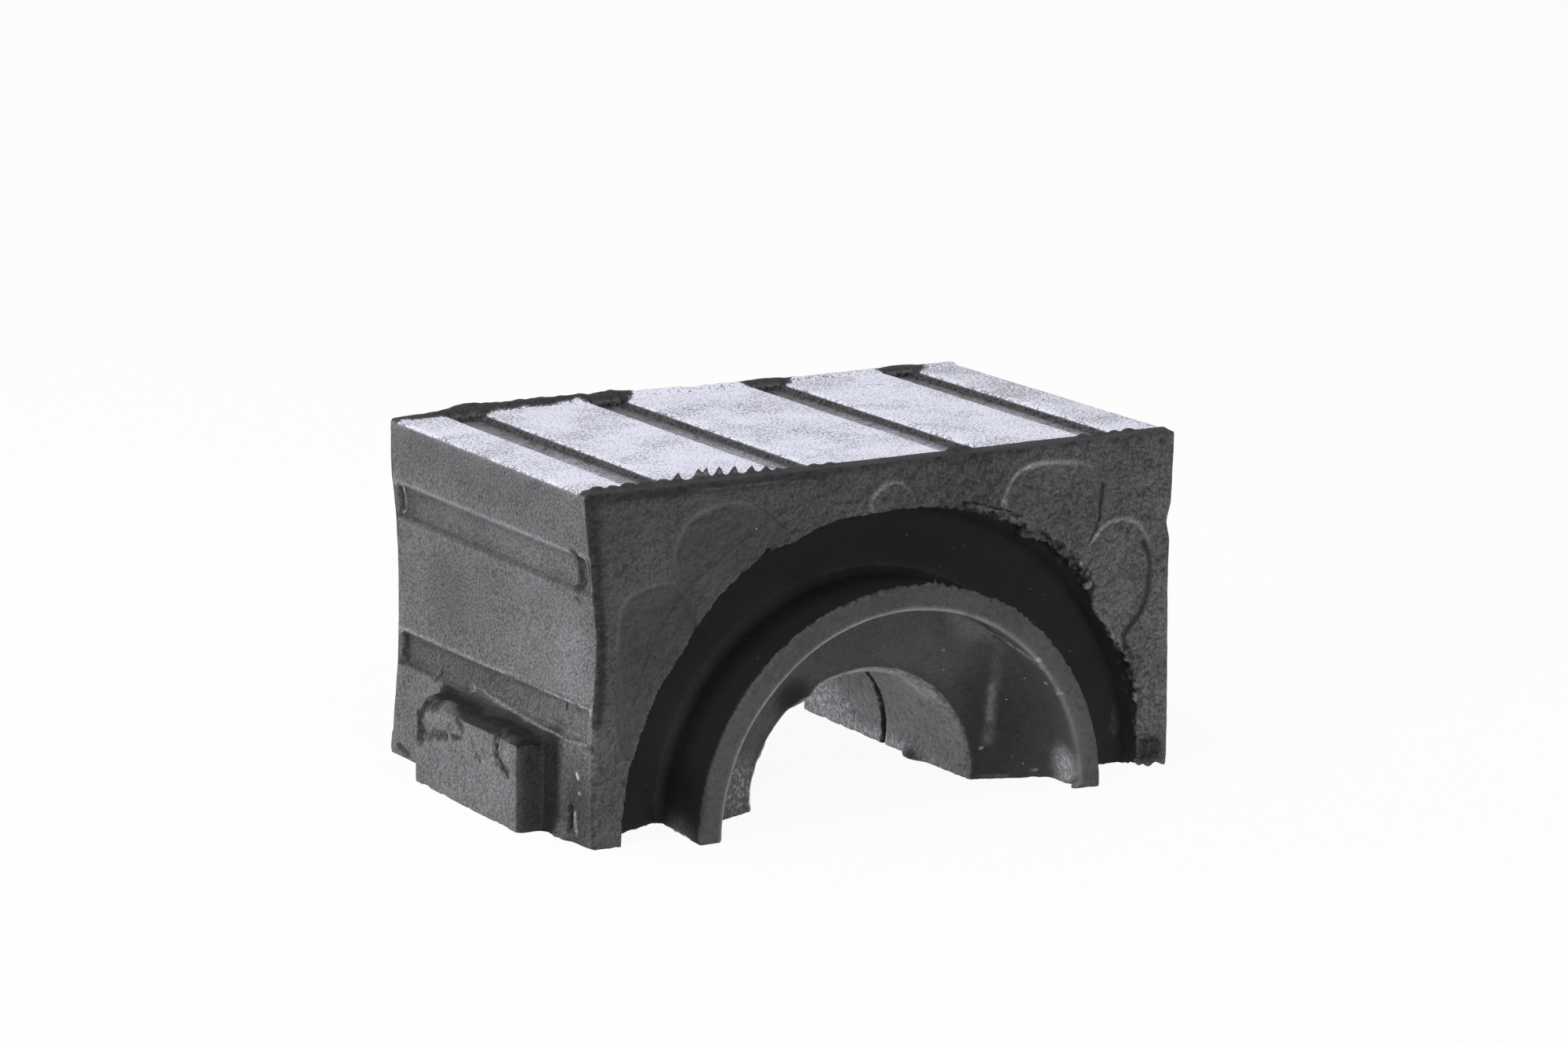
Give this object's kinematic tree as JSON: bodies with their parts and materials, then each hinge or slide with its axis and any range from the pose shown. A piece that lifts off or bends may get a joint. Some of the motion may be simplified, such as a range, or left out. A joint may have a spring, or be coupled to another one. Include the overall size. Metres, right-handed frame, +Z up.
{
  "type": "sway bar bushing",
  "caption": "Upper half of a split rubber sway bar bushing: grooved block with a half-round bar seat, thin collars in stepped recesses, and a locating lug on each side.",
  "frame": {"origin": "on the axis of the bar, in the parting plane on which the half rests, half way along the block", "axes": "+X across the bar, along the long side of the block; +Y along the bar, away from the face in the picture; +Z up, from the parting plane to the grooved top"},
  "size_m": [0.07, 0.0478, 0.0338],
  "materials": {
    "rubber": "matt moulded rubber with a fine grain"
  },
  "bodies": {
    "root": {"bushing_half": "rubber"}
  },
  "joints": []
}
